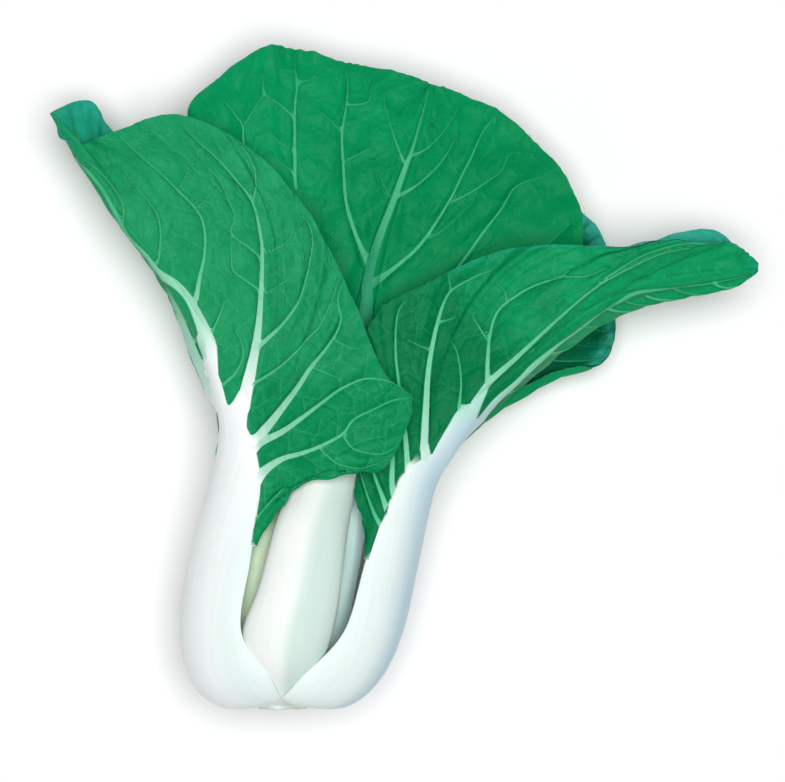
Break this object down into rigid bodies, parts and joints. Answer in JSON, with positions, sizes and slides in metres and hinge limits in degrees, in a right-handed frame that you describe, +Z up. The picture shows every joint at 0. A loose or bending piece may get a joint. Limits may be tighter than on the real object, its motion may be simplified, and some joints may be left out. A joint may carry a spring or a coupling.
{
  "type": "bok choy",
  "caption": "Whole head of bok choy lying on its back, thick white stalks round a bulb and broad green blades spread out.",
  "frame": {"origin": "middle of the object's outline seen from above, on the surface that it lies on", "axes": "+Y from the cut stem towards the leaf tips, +X towards the right leaf, +Z up, away from the surface"},
  "size_m": [0.2837, 0.2657, 0.0884],
  "materials": {
    "outer_stalk": "smooth waxy white stalk skin, faintly blue",
    "inner_stalk": "smooth waxy pale green stalk skin",
    "front_blade": "satin green leaf, outer face paler with raised white veins",
    "back_blade": "satin deep green leaf with raised pale veins",
    "inner_blade": "satin yellow green young leaf",
    "cut_stem": "matt cut stem, slightly dried"
  },
  "bodies": {
    "root": {"stem_base": "cut_stem", "front_left_stalk": "outer_stalk", "front_left_blade": "front_blade", "front_centre_stalk": "outer_stalk", "front_centre_blade": "back_blade", "front_right_stalk": "outer_stalk", "front_right_blade": "front_blade", "back_right_stalk": "outer_stalk", "back_right_blade": "back_blade", "back_left_stalk": "outer_stalk", "back_left_blade": "back_blade", "inner_back_stalk": "inner_stalk", "inner_back_blade": "back_blade", "inner_left_stalk": "inner_stalk", "inner_left_blade": "inner_blade", "inner_right_stalk": "inner_stalk", "inner_right_blade": "inner_blade", "heart_left_stalk": "inner_stalk", "heart_left_blade": "inner_blade", "heart_right_stalk": "inner_stalk", "heart_right_blade": "inner_blade"}
  },
  "joints": []
}
